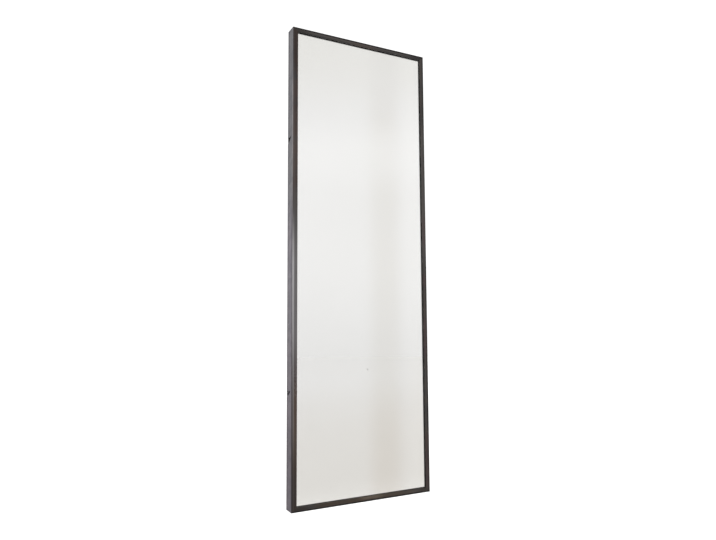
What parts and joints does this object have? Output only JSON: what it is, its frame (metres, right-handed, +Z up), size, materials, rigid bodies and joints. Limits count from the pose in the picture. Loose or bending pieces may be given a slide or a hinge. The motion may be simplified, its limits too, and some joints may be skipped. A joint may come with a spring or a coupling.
{
  "type": "wall mirror",
  "caption": "Tall narrow wall mirror in a slim folded-steel frame with mitred corners, back-silvered glass, a timber-backed panel and keyhole hanger tabs.",
  "frame": {"origin": "on the wall plane, midway between the centres of the two keyhole entries, 30 mm below the frame's top edge", "axes": "+X to the right as seen from the room, +Y back into the wall, +Z up; the mirror faces -Y"},
  "size_m": [0.4, 0.036, 1.22],
  "materials": {
    "frame_steel": "dark burnished steel under a thin satin lacquer",
    "weld_steel": "rough weld bead, darkened",
    "glass": "clear polished float glass",
    "silver": "silvering with backing paint",
    "tape": "matte foam tape",
    "packer_rubber": "matte",
    "foam": "soft, matte",
    "timber": "planed softwood",
    "hardboard": "smooth hardboard",
    "wire": "bright steel"
  },
  "bodies": {
    "root": {"frame_left_stile": "frame_steel", "frame_right_stile": "frame_steel", "frame_top_rail": "frame_steel", "frame_bottom_rail": "frame_steel", "corner_welds": "weld_steel", "hanger_tab_left": "frame_steel", "hanger_tab_right": "frame_steel", "hanger_tab_welds": "weld_steel", "glazing_tape_left": "tape", "glazing_tape_right": "tape", "glazing_tape_top": "tape", "glazing_tape_bottom": "tape", "mirror_glass": "glass", "silvering": "silver", "bottom_packers": "packer_rubber", "side_packers": "packer_rubber", "foam_sheet": "foam", "batten_left": "timber", "batten_right": "timber", "batten_top": "timber", "batten_bottom": "timber", "corner_staples": "wire", "back_panel": "hardboard", "panel_pins": "wire"}
  },
  "joints": []
}
